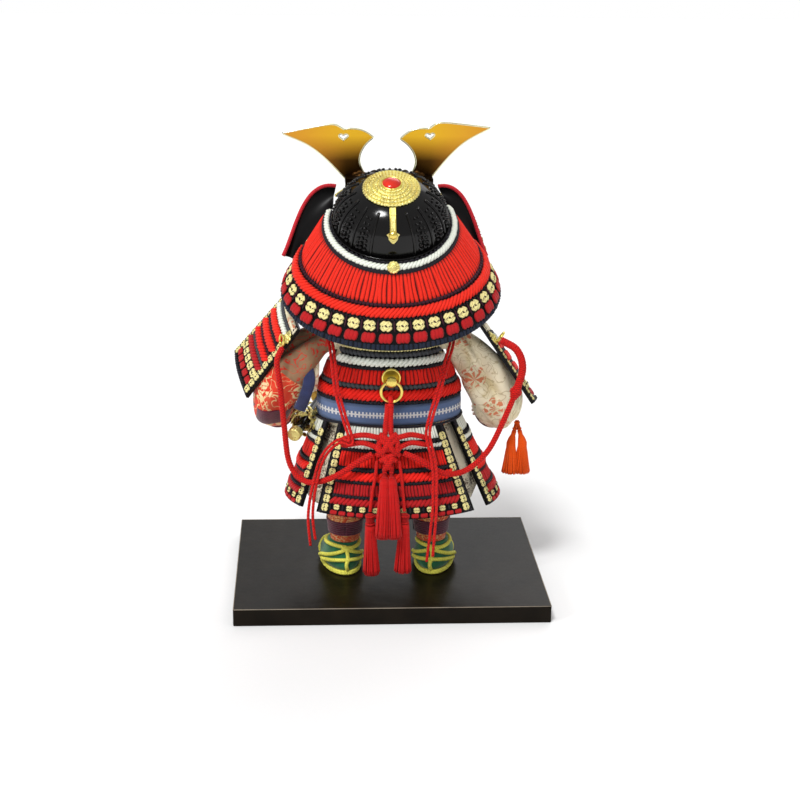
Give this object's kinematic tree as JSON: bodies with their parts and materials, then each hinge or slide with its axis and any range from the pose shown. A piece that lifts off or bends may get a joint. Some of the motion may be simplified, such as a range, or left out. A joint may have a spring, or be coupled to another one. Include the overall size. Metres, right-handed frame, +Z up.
{
  "type": "samurai doll",
  "caption": "Standing cloth-bodied doll in red laced samurai armour with a horned helmet, wide neck guard, shoulder guards, sword and tied silk cords, fixed on a black lacquered board",
  "frame": {"origin": "Centre of the board's flat underside, on the surface that the doll stands on", "axes": "+Z up; the doll faces -Y, so its back and the tied cords face +Y; the doll's left hand is on the +X side"},
  "size_m": [0.2209, 0.172, 0.3286],
  "materials": {
    "board_lacquer": "satin black lacquer",
    "armour_lacquer": "gloss black lacquer",
    "red_lacing": "pressed flat silk braid",
    "red_cord": "round plaited silk cord",
    "white_braid": "twisted silk rope",
    "blue_belt": "woven band",
    "cream_brocade": "soft woven brocade",
    "red_brocade": "soft woven brocade",
    "orange_brocade": "soft woven brocade",
    "green_boot": "felt",
    "straw": "plaited cord",
    "skin": "matt shell-white",
    "hair": "combed silk thread",
    "pad_paper": "plain",
    "gold": "bright gold plate",
    "dark_bronze": "dark plate",
    "red_stone": "polished",
    "orange_silk": "loose silk thread",
    "dark_cord": "wrapped cord"
  },
  "bodies": {
    "root": {"base_board": "board_lacquer", "sandal_left": "straw", "sandal_right": "straw", "foot_left": "green_boot", "foot_right": "green_boot", "leg_left": "orange_brocade", "leg_right": "orange_brocade", "shin_guard_left": "armour_lacquer", "shin_guard_right": "armour_lacquer", "trousers": "cream_brocade", "body": "cream_brocade", "cuirass": "red_lacing", "belt": "blue_belt", "skirt_back": "red_lacing", "skirt_front": "red_lacing", "skirt_left": "red_lacing", "skirt_right": "red_lacing", "sleeve_left": "red_brocade", "sleeve_right": "cream_brocade", "hand_left": "skin", "hand_right": "skin", "shoulder_guard_left": "red_lacing", "shoulder_guard_right": "red_lacing", "guard_ring_left": "gold", "guard_ring_right": "gold", "head": "skin", "hair": "hair", "helmet_pad": "pad_paper", "helmet_bowl": "armour_lacquer", "rim_braid": "white_braid", "brim": "armour_lacquer", "neck_guard": "red_lacing", "turnback_left": "armour_lacquer", "turnback_right": "armour_lacquer", "rosette": "gold", "gem": "red_stone", "back_strip": "gold", "guard_boss": "gold", "horn_base": "dark_bronze", "horn_left": "gold", "horn_right": "gold", "ring_boss": "gold", "back_ring": "gold", "bow_knot": "red_cord", "cord_left": "red_cord", "cord_right": "red_cord", "lace_left": "red_cord", "lace_right": "red_cord", "tassel_cord_left": "red_cord", "tassel_cord_right": "red_cord", "tassel_left": "red_cord", "tassel_right": "red_cord", "tassel_middle": "red_cord", "sleeve_tassel": "orange_silk", "sheath": "armour_lacquer", "sheath_cap": "gold", "sword_hilt": "dark_cord"}
  },
  "joints": []
}
